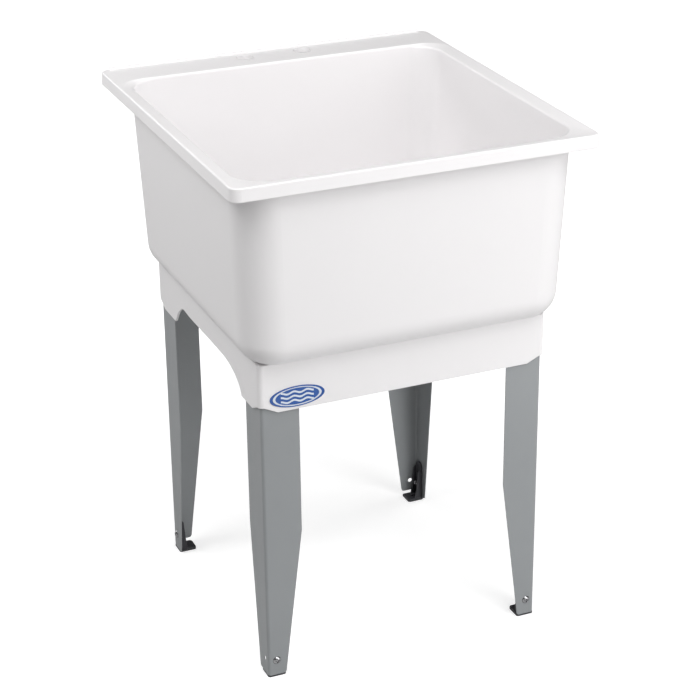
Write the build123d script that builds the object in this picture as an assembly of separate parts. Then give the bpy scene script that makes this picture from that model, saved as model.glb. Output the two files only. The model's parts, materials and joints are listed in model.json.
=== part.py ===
from build123d import *
import os
from math import atan2, degrees, radians, tan

# Utility laundry sink on four pressed legs.
# Millimetres. Origin on the floor under the centre of the rim, +X right, +Y back, +Z up.

# ---- rim ----
RIM_WIDTH = 586.0  # across the foot of the lip, left to right
RIM_DEPTH = 624.0  # across the foot of the lip, front to back
RIM_HEIGHT = 852.0  # floor to the top of the bead along the rear edge
RIM_CORNER_R = 16.0  # plan radius of the rim's corners
LIP_HEIGHT = 21.0  # lip, from its foot to the top of the rim
LIP_FLARE = 1.5  # how far the foot of the lip stands outside its top
LIP_WALL = 4.0
LIP_FOOT_ROUND = 1.4
LIP_ROUND = 2.4  # outer edge of the rim's top
BEAD_HEIGHT = 3.5  # bead above the deck
BEAD_WIDTH = 5.0
BEAD_INSET = 0.4  # behind the bead, to the top of the lip's rear face
BEAD_ROUND = 1.7
STRIP_INSET = 4.6  # foot of the lip to the outer edge of the sloped strips
STRIP_DROP = 4.0  # fall of the strips to the mouth

# ---- basin ----
WALL = 4.5
MOUTH_SIDE_INSET = 25.0  # foot of the lip to the inside of a side wall, at the mouth
MOUTH_FRONT_INSET = 24.5
MOUTH_BACK_INSET = 74.5  # leaves the faucet deck behind the basin
MOUTH_CORNER_R = 54.0
MOUTH_REAR_CORNER_R = 42.0
BOTTOM_CORNER_R = 52.0
BOTTOM_REAR_CORNER_R = 42.0
MOUTH_ROUND = 4.0  # inner edge of the strips
DECK_EDGE = 1.0  # lean of the short face between the mouth and the deck
DECK_ROUND = 2.0
BASIN_DRAFT = 2.3
BASIN_FLOOR = 541.5  # underside of the floor, above the ground
BOTTOM_ROUND = 40.0  # inside radius between the floor and the walls

# ---- faucet deck ----
FAUCET_CENTRES = 101.6
FAUCET_HOLE_R = 14.5
FAUCET_BACK = 30.0  # hole centre in front of the rim's rear edge
FAUCET_COLLAR_WALL = 3.5
FAUCET_COLLAR_DEPTH = 8.0  # collar below the deck
DECK_RIB_THICKNESS = 3.0
DECK_RIB_COUNT = 4
DECK_RIB_SPAN = 420.0  # first rib to last rib

# ---- skirt and leg pockets ----
SKIRT_WALL = 3.4
SKIRT_BOTTOM = 464.0
SKIRT_CORNER_R = 8.0
SKIRT_SHELF = 2.5  # shelf round the top of the skirt, above the underside of the floor
POCKET_ROOF = 2.5  # roof over each leg, below the underside of the floor
SKIRT_LIFT = 10.5  # rise of the lower edge at each corner
SKIRT_LIFT_RUN = 30.0  # corner to the end of the rise
ARCH_TOP = 500.0
ARCH_FRONT_FOOT = 76.0  # skirt front to the front foot of the side arch
ARCH_BACK_FOOT = 84.0  # skirt back to the rear foot of the side arch
ARCH_FRONT_RUN = 96.0  # length of the front shoulder of the side arch
ARCH_BACK_RUN = 32.0
ARCH_KNEE_RUN = 0.32  # point low on the front shoulder, as shares of its length and of the arch's rise
ARCH_KNEE_RISE = 0.72
ARCH_BACK_KNEE_RUN = 0.55
ARCH_BACK_KNEE_RISE = 0.62
ARCH_BACK_TOP_RISE = 0.93  # where the crown bends into the rear drop
ARCH_CROWN_RUN = 2.4  # rear foot to the end of the flat crown, in lengths of the rear shoulder
ARCH_START_RUN = 0.45  # slope at the foot of the front shoulder, run for each unit of rise
ARCH_BEND_RUN = 0.75  # direction in which the crown meets the rear drop, along the edge
ARCH_BEND_FALL = 0.65  # the same, downwards
REAR_ARCH_RUN = 40.0
POCKET_RIB = 3.0
POCKET_RIB_WIDTH = 56.0
POCKET_BOTTOM = 477.0

# ---- legs ----
LEG_SIDE_INSET = 57.7  # foot of the lip to the outer faces of the legs
LEG_FRONT_INSET = 67.0
LEG_BACK_INSET = 95.2
LEG_GAUGE = 1.2
LEG_BEND_R = 5.0
LEG_CLEARANCE = 0.3
END_FLANGE = 61.5  # flange that faces front or back
END_FLANGE_FOOT = 30.0
SIDE_FLANGE = 64.0  # flange that faces left or right
SIDE_FLANGE_FOOT = 36.0
TAPER_START = 254.0  # height above the floor at which the flanges begin to narrow
LEG_FREE_CORNER_R = 5.0
REAR_FLANGE_LIFT = 6.0  # the rear legs' end flange stops this much above the side flange
LIFT_START = 9.0  # from the outer face of the side flange
LEG_SEAT_GAP = 0.3

# ---- levelling feet ----
FOOT_BASE = 30.0
FOOT_LIP = 2.8  # thickness below the edge of the leg
FOOT_BASE_THICKNESS = 4.6
FOOT_CORNER_R = 4.0
FOOT_EDGE_ROUND = 0.8
FOOT_PLATE = 3.0
FOOT_PLATE_START = 5.4  # from the outer face of the leg's other flange
FOOT_PLATE_WIDTH = 21.6
FOOT_PLATE_TOP = 72.0
FOOT_GUSSET = 2.4
FOOT_GUSSET_REACH = 11.0
FOOT_GUSSET_WAIST_REACH = 8.0
FOOT_GUSSET_WAIST = 20.0
FOOT_GUSSET_TOP_REACH = 5.0
FOOT_GUSSET_SHOULDER = 56.0
FOOT_GUSSET_TOP = 61.0
FOOT_TRAVEL = 20.0
FOOT_SCREW_R = 2.6
FOOT_SCREW_OFFSET = 12.5  # floor screw hole from the inner face of the back plate
SLIDE_GAP = 0.3

# ---- foot bolts and nuts ----
BOLT_R = 3.2
BOLT_OFFSET = 14.5  # bolt axis from the outer face of the leg's other flange
BOLT_HEIGHT = 29.0
BOLT_CLEARANCE = 0.8
SLOT_CLEARANCE = 0.5
BOLT_HEAD_R = 6.8
BOLT_HEAD_HEIGHT = 3.4
BOLT_RECESS = 6.6
BOLT_RECESS_WIDTH = 1.7
BOLT_RECESS_DEPTH = 1.8
BOLT_END = 2.2  # bolt past the nut
NUT_SIDES = 6
NUT_FLATS = 10.0
NUT_HEIGHT = 5.0
NUT_CLEARANCE = 0.08
NUT_CORNER_R = 5.6  # the corners are rounded to this radius
NUT_FACE_R = 4.7  # washer face on the outer side
NUT_CHAMFER = 0.7

# ---- drain ----
DRAIN_PAD_R = 46.0
DRAIN_PAD = 6.0  # pad below the floor
DRAIN_RECESS_R = 38.0
DRAIN_FLANGE_R = 36.0
DRAIN_FLANGE = 2.6
DRAIN_EDGE = 1.2  # chamfer of the flange and of the bore's mouth
FLANGE_GASKET = 1.4
SHANK_R = 23.8
SHANK_LENGTH = 52.0
SHANK_CLEARANCE = 0.4
SHANK_BORE_R = 18.0
SEAT_BORE_R = 21.0  # wider bore above the strainer ledge
SEAT_BORE_DEPTH = 15.0
THREAD_DEPTH = 0.8
THREAD_PITCH = 3.0
THREAD_FLANK = 0.9
THREAD_ROOT = 0.6
STRAINER_THICKNESS = 2.0
STRAINER_HOLE_R = 2.3
STRAINER_RING_R = 6.6
STRAINER_RINGS = 2
STRAINER_RING_HOLES = 6  # holes in the first ring, each further ring has as many more
LOWER_GASKET = 3.0
LOWER_GASKET_R = 37.0
FRICTION_WASHER = 1.2
LOCKNUT_R = 33.0
LOCKNUT_HEIGHT = 11.0
LOCKNUT_LUGS = 6
LOCKNUT_LUG = 4.0
TAILPIECE_R = 19.05
TAILPIECE_WALL = 1.3
TAILPIECE_LENGTH = 90.0
TAILPIECE_NECK = 8.0  # thicker root below the flange
TAILPIECE_NECK_R = 19.4
TAILPIECE_FLANGE_R = 23.0
TAILPIECE_FLANGE = 2.0
TAILPIECE_WASHER = 2.0
COUPLING_R = 29.0
COUPLING_HEIGHT = 22.0
COUPLING_LEDGE = 3.5
COUPLING_FLUTES = 12
COUPLING_FLUTE_R = 2.6
COUPLING_FLUTE_OUT = 0.9  # flute centres outside the nut's surface

# ---- stopper ----
STOPPER_CAP_R = 25.0
STOPPER_CAP = 3.5
STOPPER_PLUG_R = 20.4
STOPPER_PLUG_END_R = 19.4
STOPPER_PLUG_DEPTH = 11.0
STOPPER_GAP = 0.3
STOPPER_EDGE = 1.0
EYE_THICKNESS = 2.2
EYE_WIDTH = 6.4
EYE_HOLE_R = 1.6
EYE_HOLE_HEIGHT = 3.4
EYE_CREST = 0.1  # half of the flat left on top of the eye
RING_R = 8.5
RING_WIRE_R = 0.9
RING_REST_GAP = 0.3

# ---- badge ----
BADGE_WIDTH = 88.0
BADGE_HEIGHT = 33.5
BADGE_THICKNESS = 0.9
BADGE_FROM_CORNER = 61.0  # badge centre from the left face of the skirt
BADGE_ABOVE_EDGE = 21.4  # badge centre above the lower edge of the skirt
BADGE_BORDER = 2.6
BADGE_GROOVE_WIDTH = 1.3
BADGE_GROOVE = 0.3

# ---- levels and faces worked out from the sizes above ----
EPS = 0.5  # overshoot of a cutting shape past the face that it opens
LEVEL_SLACK = 0.01
DECK_LEVEL = RIM_HEIGHT - BEAD_HEIGHT
MOUTH_LEVEL = DECK_LEVEL - STRIP_DROP
RIM_UNDERSIDE = MOUTH_LEVEL - WALL
LIP_FOOT = DECK_LEVEL - LIP_HEIGHT
MOUTH_WIDTH = RIM_WIDTH - 2 * MOUTH_SIDE_INSET
MOUTH_FRONT = RIM_DEPTH / 2 - MOUTH_FRONT_INSET
MOUTH_BACK = RIM_DEPTH / 2 - MOUTH_BACK_INSET
FLOOR_TOP = BASIN_FLOOR + WALL
MOUTH_CENTRE_Y = (MOUTH_BACK - MOUTH_FRONT) / 2
DRAIN_Y = MOUTH_CENTRE_Y
LEG_SPREAD_X = RIM_WIDTH - 2 * LEG_SIDE_INSET
LEG_SPREAD_Y = RIM_DEPTH - LEG_FRONT_INSET - LEG_BACK_INSET
LEG_SHIFT = (LEG_FRONT_INSET - LEG_BACK_INSET) / 2
SKIRT_WIDTH = LEG_SPREAD_X + 2 * (LEG_CLEARANCE + SKIRT_WALL)
SKIRT_DEPTH = LEG_SPREAD_Y + 2 * (LEG_CLEARANCE + SKIRT_WALL)
SKIRT_FRONT = LEG_SHIFT - SKIRT_DEPTH / 2
SKIRT_BACK = LEG_SHIFT + SKIRT_DEPTH / 2
LEG_BOTTOM = FOOT_LIP + SLIDE_GAP
LEG_TOP = BASIN_FLOOR - POCKET_ROOF - LEG_SEAT_GAP
FAUCET_Y = RIM_DEPTH / 2 - FAUCET_BACK
PLATE_FACE = LEG_GAUGE + SLIDE_GAP
PLATE_INNER = PLATE_FACE + FOOT_PLATE
NUT_FACE = PLATE_INNER + SLIDE_GAP
PAD_BOTTOM = BASIN_FLOOR - DRAIN_PAD
FLANGE_TOP = FLOOR_TOP - SLIDE_GAP
FLANGE_BOTTOM = FLANGE_TOP - DRAIN_FLANGE
FLANGE_SEAT = FLANGE_BOTTOM - FLANGE_GASKET
SHANK_END = FLANGE_BOTTOM - SHANK_LENGTH
STRAINER_LEDGE = FLANGE_TOP - SEAT_BORE_DEPTH
LOWER_GASKET_BOTTOM = PAD_BOTTOM - LOWER_GASKET
FRICTION_BOTTOM = LOWER_GASKET_BOTTOM - FRICTION_WASHER
LOCKNUT_BOTTOM = FRICTION_BOTTOM - LOCKNUT_HEIGHT
TAIL_FLANGE_TOP = SHANK_END - TAILPIECE_WASHER
TAIL_FLANGE_BOTTOM = TAIL_FLANGE_TOP - TAILPIECE_FLANGE
TAIL_END = TAIL_FLANGE_BOTTOM - TAILPIECE_LENGTH
COUPLING_LEDGE_TOP = TAIL_FLANGE_BOTTOM - SLIDE_GAP
COUPLING_BOTTOM = COUPLING_LEDGE_TOP - COUPLING_LEDGE
STOPPER_CAP_BOTTOM = FLANGE_TOP + STOPPER_GAP
STOPPER_CAP_TOP = STOPPER_CAP_BOTTOM + STOPPER_CAP


def rounded_plan(width, depth, radius, level, centre_y=0.0):
    """Rounded rectangle lying at a level, centred on x = 0."""
    plane = Plane(origin=(0, centre_y, level))
    return plane * RectangleRounded(width, depth, radius)


def edges_at(shape, level):
    """Edges of a shape that lie flat at one level."""
    return shape.edges().filter_by_position(Axis.Z, level - LEVEL_SLACK, level + LEVEL_SLACK)


def turned(points):
    """Solid of revolution about Z from (radius, z) points."""
    outline = Plane.XZ * make_face(Polyline(*points, close=True))
    return revolve(outline, axis=Axis.Z)


def at_drain(shape):
    """A drain piece, moved from the Z axis to the drain's place."""
    return Pos(0, DRAIN_Y, 0) * shape


def ring(outer_r, inner_r, bottom, top):
    """Plain ring about Z."""
    return turned([(inner_r, bottom), (outer_r, bottom), (outer_r, top), (inner_r, top)])


def rim_plan(inset, level):
    """Outline of the rim, inset from the foot of the lip."""
    return rounded_plan(RIM_WIDTH - 2 * inset, RIM_DEPTH - 2 * inset, RIM_CORNER_R - inset, level)


def rim_shell():
    """Rim and turned-down lip, hollow below, before the basin's mouth is opened."""
    block = loft([rim_plan(0.0, LIP_FOOT), rim_plan(LIP_FLARE, DECK_LEVEL)], ruled=True)
    block = fillet(edges_at(block, DECK_LEVEL), LIP_ROUND)
    hollow = loft([rim_plan(LIP_WALL, LIP_FOOT), rim_plan(LIP_WALL + LIP_FLARE, RIM_UNDERSIDE)], ruled=True)
    shell = block - hollow
    return fillet(edges_at(shell, LIP_FOOT), LIP_FOOT_ROUND)


def rear_bead():
    """Rounded bead along the rear edge of the deck."""
    width = RIM_WIDTH - 2 * RIM_CORNER_R
    low = RIM_UNDERSIDE + WALL / 2
    height = RIM_HEIGHT - low
    centre_y = RIM_DEPTH / 2 - LIP_FLARE - BEAD_INSET - BEAD_WIDTH / 2
    bead = Pos(0, centre_y, low + height / 2) * Box(width, BEAD_WIDTH, height)
    bead = fillet(bead.edges().filter_by(Axis.Z), BEAD_ROUND)
    return fillet(edges_at(bead, RIM_HEIGHT), BEAD_ROUND)


def mouth_outline(half_width, front, back, front_r, back_r, level):
    """Rectangle with its own radius at the front corners and at the rear corners."""
    points = [(-half_width, -front), (half_width, -front), (half_width, back), (-half_width, back)]
    plan = make_face(Polyline(*points, close=True))
    plan = fillet(plan.vertices().sort_by(Axis.Y)[:2], front_r)
    plan = fillet(plan.vertices().sort_by(Axis.Y)[-2:], back_r)
    return Pos(0, 0, level) * plan


def basin_block(inset, bottom, top, bottom_round):
    """Tapered basin body with rounded corners, inset from the inside face of the walls."""
    slope = tan(radians(BASIN_DRAFT))
    ends = [(bottom, BOTTOM_CORNER_R, BOTTOM_REAR_CORNER_R), (top, MOUTH_CORNER_R, MOUTH_REAR_CORNER_R)]
    plans = []
    for level, front_r, back_r in ends:
        shrink = inset + (MOUTH_LEVEL - level) * slope
        sizes = (MOUTH_WIDTH / 2 - shrink, MOUTH_FRONT - shrink, MOUTH_BACK - shrink)
        plans.append(mouth_outline(*sizes, front_r - inset, back_r - inset, level))
    body = loft(plans, ruled=True)
    return fillet(edges_at(body, bottom), bottom_round)


def mouth_cut():
    """Inside of the basin and the sloped strips round its mouth, as a cutting shape."""
    cavity = basin_block(0.0, FLOOR_TOP, MOUTH_LEVEL, BOTTOM_ROUND)
    sizes = (MOUTH_WIDTH / 2, MOUTH_FRONT, MOUTH_BACK)
    mouth = mouth_outline(*sizes, MOUTH_CORNER_R, MOUTH_REAR_CORNER_R, MOUTH_LEVEL)
    sizes = (RIM_WIDTH / 2 - STRIP_INSET, RIM_DEPTH / 2 - STRIP_INSET, MOUTH_BACK + DECK_EDGE)
    top = mouth_outline(*sizes, RIM_CORNER_R - STRIP_INSET, MOUTH_REAR_CORNER_R + DECK_EDGE, DECK_LEVEL)
    tool = cavity + loft([mouth, top], ruled=True)
    tool = fillet(edges_at(tool, MOUTH_LEVEL), MOUTH_ROUND)
    return tool + extrude(top, amount=BEAD_HEIGHT + EPS)


def arch_outline(length_from, length_to, front_run, back_run):
    """Area below an arched lower edge, drawn as (along, z) with both feet at the skirt's lower edge."""
    rise = ARCH_TOP - SKIRT_BOTTOM
    low = SKIRT_BOTTOM - EPS
    start = (length_from, SKIRT_BOTTOM)
    end = (length_to, SKIRT_BOTTOM)
    front_knee = (length_from + ARCH_KNEE_RUN * front_run, SKIRT_BOTTOM + ARCH_KNEE_RISE * rise)
    front_top = (length_from + front_run, ARCH_TOP)
    back_knee = (length_to - ARCH_BACK_KNEE_RUN * back_run, SKIRT_BOTTOM + ARCH_BACK_KNEE_RISE * rise)
    back_top = (length_to - back_run, SKIRT_BOTTOM + ARCH_BACK_TOP_RISE * rise)
    mid = (length_to - ARCH_CROWN_RUN * back_run, ARCH_TOP)
    front_curve = Spline(start, front_knee, front_top, tangents=[(ARCH_START_RUN, 1), (1, 0)])
    crown = Line(front_top, mid)
    shoulder = Spline(mid, back_top, tangents=[(1, 0), (ARCH_BEND_RUN, -ARCH_BEND_FALL)])
    drop = Polyline(back_top, back_knee, end)
    foot = Polyline(end, (length_to, low), (length_from, low), start)
    return make_face([front_curve, crown, shoulder, drop, foot])


def corner_lift(along, sign):
    """Area under the raised end of the lower edge, level over the skirt's rounded corner."""
    low = SKIRT_BOTTOM - EPS
    top = SKIRT_BOTTOM + SKIRT_LIFT
    points = [(along - sign * SKIRT_LIFT_RUN, SKIRT_BOTTOM), (along - sign * SKIRT_CORNER_R, top)]
    points += [(along + sign * EPS, top), (along + sign * EPS, low)]
    points += [(along - sign * SKIRT_LIFT_RUN, low)]
    return make_face(Polyline(*points, close=True))


def skirt():
    """Inset skirt below the basin, with arched sides and back and raised corners."""
    height = BASIN_FLOOR - SKIRT_BOTTOM
    outer_plan = rounded_plan(SKIRT_WIDTH, SKIRT_DEPTH, SKIRT_CORNER_R, SKIRT_BOTTOM, LEG_SHIFT)
    body = extrude(outer_plan, amount=height + SKIRT_SHELF)
    inner_width = SKIRT_WIDTH - 2 * SKIRT_WALL
    inner_depth = SKIRT_DEPTH - 2 * SKIRT_WALL
    inner_r = SKIRT_CORNER_R - SKIRT_WALL
    body -= extrude(rounded_plan(inner_width, inner_depth, inner_r, SKIRT_BOTTOM, LEG_SHIFT), amount=height)
    half = SKIRT_WIDTH / 2
    arch = arch_outline(SKIRT_FRONT + ARCH_FRONT_FOOT, SKIRT_BACK - ARCH_BACK_FOOT, ARCH_FRONT_RUN, ARCH_BACK_RUN)
    side_areas = [(arch, SKIRT_WALL + EPS)]
    side_areas += [(corner_lift(SKIRT_FRONT, -1), SKIRT_CORNER_R), (corner_lift(SKIRT_BACK, 1), SKIRT_CORNER_R)]
    end_areas = [(corner_lift(-half, -1), SKIRT_CORNER_R), (corner_lift(half, 1), SKIRT_CORNER_R)]
    rear_arch = arch_outline(-half + ARCH_FRONT_FOOT, half - ARCH_FRONT_FOOT, ARCH_FRONT_RUN, REAR_ARCH_RUN)
    for side in (-1, 1):
        plane = Plane(origin=(side * (half + EPS), 0, 0), x_dir=(0, 1, 0), z_dir=(1, 0, 0))
        for area, depth in side_areas:
            body -= extrude(plane * area, amount=-side * depth)
    for end, face in ((-1, SKIRT_FRONT), (1, SKIRT_BACK)):
        plane = Plane(origin=(0, face + end * EPS, 0), x_dir=(1, 0, 0), z_dir=(0, -1, 0))
        areas = end_areas if end < 0 else end_areas + [(rear_arch, SKIRT_WALL + EPS)]
        for area, depth in areas:
            body -= extrude(plane * area, amount=end * depth)
    return body


def to_corner(shape, side, end):
    """Moves a piece drawn at a leg's outer corner to its place. side -1 is left, end -1 is front."""
    if side > 0:
        shape = mirror(shape, about=Plane.YZ)
    if end > 0:
        shape = mirror(shape, about=Plane.XZ)
    return Pos(side * LEG_SPREAD_X / 2, LEG_SHIFT + end * LEG_SPREAD_Y / 2, 0) * shape


def leg_pocket():
    """Angle-shaped rib behind a leg and the roof over it, drawn at the leg's outer corner."""
    face = LEG_GAUGE + LEG_CLEARANCE
    start = face + LEG_BEND_R
    points = [(start, face), (POCKET_RIB_WIDTH, face), (POCKET_RIB_WIDTH, face + POCKET_RIB)]
    points += [(start + POCKET_RIB, face + POCKET_RIB), (face + POCKET_RIB, start + POCKET_RIB)]
    points += [(face + POCKET_RIB, POCKET_RIB_WIDTH), (face, POCKET_RIB_WIDTH), (face, start)]
    plan = Plane(origin=(0, 0, POCKET_BOTTOM)) * make_face(Polyline(*points, close=True))
    rib = extrude(plan, amount=BASIN_FLOOR + SKIRT_SHELF / 2 - POCKET_BOTTOM)
    span = POCKET_RIB_WIDTH + LEG_CLEARANCE
    height = POCKET_ROOF + SKIRT_SHELF / 2
    middle = span / 2 - LEG_CLEARANCE
    low = BASIN_FLOOR - POCKET_ROOF
    roof = Pos(middle, middle, low + height / 2) * Box(span, span, height)
    return rib + roof


def deck_ribs():
    """Short webs under the deck, between the rear wall and the lip."""
    front = MOUTH_BACK + WALL / 2
    back = RIM_DEPTH / 2 - LIP_WALL / 2 - LIP_FLARE
    top = RIM_UNDERSIDE + WALL / 2
    height = top - LIP_FOOT - LIP_FOOT_ROUND * 2
    step = DECK_RIB_SPAN / (DECK_RIB_COUNT - 1)
    for number in range(DECK_RIB_COUNT):
        x = -DECK_RIB_SPAN / 2 + number * step
        yield Pos(x, (front + back) / 2, top - height / 2) * Box(DECK_RIB_THICKNESS, back - front, height)


def faucet_x():
    """The x of each faucet hole."""
    return (-FAUCET_CENTRES / 2, FAUCET_CENTRES / 2)


def make_tub():
    """The whole moulding."""
    body = rim_shell()
    body += basin_block(-WALL, BASIN_FLOOR, RIM_UNDERSIDE + WALL / 2, BOTTOM_ROUND + WALL)
    body += skirt()
    for side in (-1, 1):
        for end in (-1, 1):
            body += to_corner(leg_pocket(), side, end)
    for rib in deck_ribs():
        body += rib
    collar_bottom = RIM_UNDERSIDE - FAUCET_COLLAR_DEPTH
    for x in faucet_x():
        height = RIM_UNDERSIDE + WALL / 2 - collar_bottom
        body += Pos(x, FAUCET_Y, collar_bottom + height / 2) * Cylinder(FAUCET_HOLE_R + FAUCET_COLLAR_WALL, height)
    body += at_drain(ring(DRAIN_PAD_R, 0.0, PAD_BOTTOM, BASIN_FLOOR + WALL / 2))
    body -= mouth_cut()
    deck_edges = edges_at(body, DECK_LEVEL).filter_by_position(Axis.Y, MOUTH_BACK, MOUTH_BACK + 2 * DECK_EDGE)
    body = fillet(deck_edges, DECK_ROUND)
    body += rear_bead()
    for x in faucet_x():
        body -= Pos(x, FAUCET_Y, DECK_LEVEL) * Cylinder(FAUCET_HOLE_R, 4 * (WALL + FAUCET_COLLAR_DEPTH))
    hole_r = SHANK_R + SHANK_CLEARANCE
    body -= at_drain(ring(hole_r, 0.0, PAD_BOTTOM - EPS, FLOOR_TOP + EPS))
    body -= at_drain(ring(DRAIN_RECESS_R, 0.0, FLANGE_SEAT, FLOOR_TOP + EPS))
    return body


def taper_cut(width, foot_width):
    """Area that is cut away to narrow a flange towards the floor, drawn as (across, z)."""
    low = LEG_BOTTOM - EPS
    points = [(width, TAPER_START), (foot_width, LEG_BOTTOM), (foot_width, low), (width + EPS, low)]
    points += [(width + EPS, TAPER_START)]
    return make_face(Polyline(*points, close=True))


def flange_width(width, foot_width, level):
    """Width of a tapered flange at a height below the start of the taper."""
    share = (level - LEG_BOTTOM) / (TAPER_START - LEG_BOTTOM)
    return foot_width + share * (width - foot_width)


def make_leg(lift):
    """One leg with its outer corner at the origin, flanges along +X and +Y, the X flange cut short by the lift."""
    outer = [(0, 0), (END_FLANGE, 0), (END_FLANGE, LEG_GAUGE), (LEG_GAUGE, LEG_GAUGE)]
    outer += [(LEG_GAUGE, SIDE_FLANGE), (0, SIDE_FLANGE)]
    plan = make_face(Polyline(*outer, close=True))
    plan = fillet(plan.vertices().sort_by_distance((0, 0, 0))[0], LEG_BEND_R)
    inside = plan.vertices().sort_by_distance((LEG_GAUGE, LEG_GAUGE, 0))[0]
    plan = fillet(inside, LEG_BEND_R - LEG_GAUGE)
    leg = extrude(Pos(0, 0, LEG_BOTTOM) * plan, amount=LEG_TOP - LEG_BOTTOM)
    depth = LEG_GAUGE + 2 * EPS
    end_plane = Plane(origin=(0, -EPS, 0), x_dir=(1, 0, 0), z_dir=(0, -1, 0))
    leg -= extrude(end_plane * taper_cut(END_FLANGE, END_FLANGE_FOOT), amount=-depth)
    side_plane = Plane(origin=(-EPS, 0, 0), x_dir=(0, 1, 0), z_dir=(1, 0, 0))
    leg -= extrude(side_plane * taper_cut(SIDE_FLANGE, SIDE_FLANGE_FOOT), amount=depth)
    hole = Cylinder(BOLT_R + BOLT_CLEARANCE, 2 * depth)
    leg -= Pos(BOLT_OFFSET, 0, BOLT_HEIGHT) * Rot(90, 0, 0) * hole
    leg -= Pos(0, BOLT_OFFSET, BOLT_HEIGHT) * Rot(0, 90, 0) * hole
    level = LEG_BOTTOM + lift
    free = [(flange_width(END_FLANGE, END_FLANGE_FOOT, level), LEG_GAUGE / 2, level)]
    free += [(LEG_GAUGE / 2, SIDE_FLANGE_FOOT, LEG_BOTTOM)]
    if lift > 0:
        width = END_FLANGE - LIFT_START
        leg -= Pos(LIFT_START + width / 2, LEG_GAUGE / 2, LEG_BOTTOM) * Box(width, 2 * LEG_GAUGE, 2 * lift)
    for point in free:
        edge = leg.edges().sort_by_distance(point)[0]
        leg = fillet(edge, LEG_FREE_CORNER_R)
    return leg


def make_foot():
    """One levelling foot, drawn at the leg's outer corner with its back plate along the X flange."""
    mid = FOOT_BASE / 2
    base = Pos(mid, mid, FOOT_LIP / 2) * Box(FOOT_BASE, FOOT_BASE, FOOT_LIP)
    base = fillet(base.edges().filter_by(Axis.Z), FOOT_CORNER_R)
    pad = FOOT_BASE - PLATE_FACE - LEG_BEND_R / 2
    pad_mid = FOOT_BASE - pad / 2
    upper = Pos(pad_mid, pad_mid, FOOT_BASE_THICKNESS / 2) * Box(pad, pad, FOOT_BASE_THICKNESS)
    upper = fillet(upper.edges().filter_by(Axis.Z), FOOT_CORNER_R)
    upper = fillet(edges_at(upper, FOOT_BASE_THICKNESS), FOOT_EDGE_ROUND)
    left = FOOT_PLATE_START
    right = left + FOOT_PLATE_WIDTH
    centre = (left + right) / 2
    shoulder = FOOT_PLATE_TOP - FOOT_PLATE_WIDTH / 2
    low = FOOT_LIP / 2
    sides = Polyline((right, shoulder), (right, low), (left, low), (left, shoulder))
    top = ThreePointArc((left, shoulder), (centre, FOOT_PLATE_TOP), (right, shoulder))
    plate_plane = Plane(origin=(0, PLATE_FACE, 0), x_dir=(1, 0, 0), z_dir=(0, -1, 0))
    foot = base + upper + extrude(plate_plane * make_face([sides, top]), amount=-FOOT_PLATE)
    reach = PLATE_INNER + FOOT_GUSSET_REACH
    for x in (left, right - FOOT_GUSSET):
        plane = Plane(origin=(x, 0, 0), x_dir=(0, 1, 0), z_dir=(1, 0, 0))
        points = [(PLATE_INNER - EPS, low), (reach, low), (reach, FOOT_BASE_THICKNESS + EPS)]
        points += [(PLATE_INNER + FOOT_GUSSET_WAIST_REACH, FOOT_GUSSET_WAIST)]
        points += [(PLATE_INNER + FOOT_GUSSET_TOP_REACH, FOOT_GUSSET_SHOULDER)]
        points += [(PLATE_INNER + EPS, FOOT_GUSSET_TOP), (PLATE_INNER - EPS, FOOT_GUSSET_TOP)]
        foot += extrude(plane * make_face(Polyline(*points, close=True)), amount=FOOT_GUSSET)
    slot_r = BOLT_R + SLOT_CLEARANCE
    slot_plane = Plane(origin=(BOLT_OFFSET, PLATE_FACE - EPS, BOLT_HEIGHT), x_dir=(0, 0, 1), z_dir=(0, 1, 0))
    slot = slot_plane * Pos(FOOT_TRAVEL / 2, 0) * SlotCenterToCenter(FOOT_TRAVEL, 2 * slot_r)
    foot -= extrude(slot, amount=FOOT_PLATE + 2 * EPS)
    screw_y = PLATE_INNER + FOOT_SCREW_OFFSET
    foot -= Pos(centre, screw_y, 0) * Cylinder(FOOT_SCREW_R, 4 * FOOT_BASE_THICKNESS)
    return foot


def make_foot_bolt():
    """Round-headed bolt through the X flange, head outside, drawn at the leg's outer corner."""
    head_radius = (BOLT_HEAD_R**2 + BOLT_HEAD_HEIGHT**2) / (2 * BOLT_HEAD_HEIGHT)
    dome = Pos(0, 0, BOLT_HEAD_HEIGHT - head_radius) * Sphere(head_radius)
    head = dome & Pos(0, 0, BOLT_HEAD_HEIGHT / 2) * Cylinder(BOLT_HEAD_R, BOLT_HEAD_HEIGHT)
    for angle in (0, 90):
        slot = Box(BOLT_RECESS, BOLT_RECESS_WIDTH, 2 * BOLT_RECESS_DEPTH)
        head -= Pos(0, 0, BOLT_HEAD_HEIGHT) * Rot(0, 0, angle) * slot
    length = NUT_FACE + NUT_HEIGHT + BOLT_END
    shank = Pos(0, 0, -length / 2) * Cylinder(BOLT_R, length)
    shank = chamfer(edges_at(shank, -length), BOLT_R / 4)
    return Pos(BOLT_OFFSET, 0, BOLT_HEIGHT) * Rot(90, 0, 0) * (head + shank)


def make_foot_nut():
    """Hexagon nut inside the foot's back plate, drawn at the leg's outer corner."""
    prism = extrude(RegularPolygon(NUT_FLATS / 2, NUT_SIDES, major_radius=False), amount=NUT_HEIGHT)
    shoulder = NUT_HEIGHT - NUT_CHAMFER
    outline = [(0, 0), (NUT_CORNER_R, 0), (NUT_CORNER_R, shoulder), (NUT_FACE_R, NUT_HEIGHT), (0, NUT_HEIGHT)]
    nut = prism & turned(outline)
    nut -= Cylinder(BOLT_R + NUT_CLEARANCE, 4 * NUT_HEIGHT)
    return Pos(BOLT_OFFSET, NUT_FACE, BOLT_HEIGHT) * Rot(-90, 0, 0) * nut


def swap_flange(shape):
    """Moves a piece drawn for the X flange to the Y flange of the same leg."""
    return mirror(shape, about=Plane(origin=(0, 0, 0), x_dir=(0, 0, 1), z_dir=(1, -1, 0)))


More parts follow.
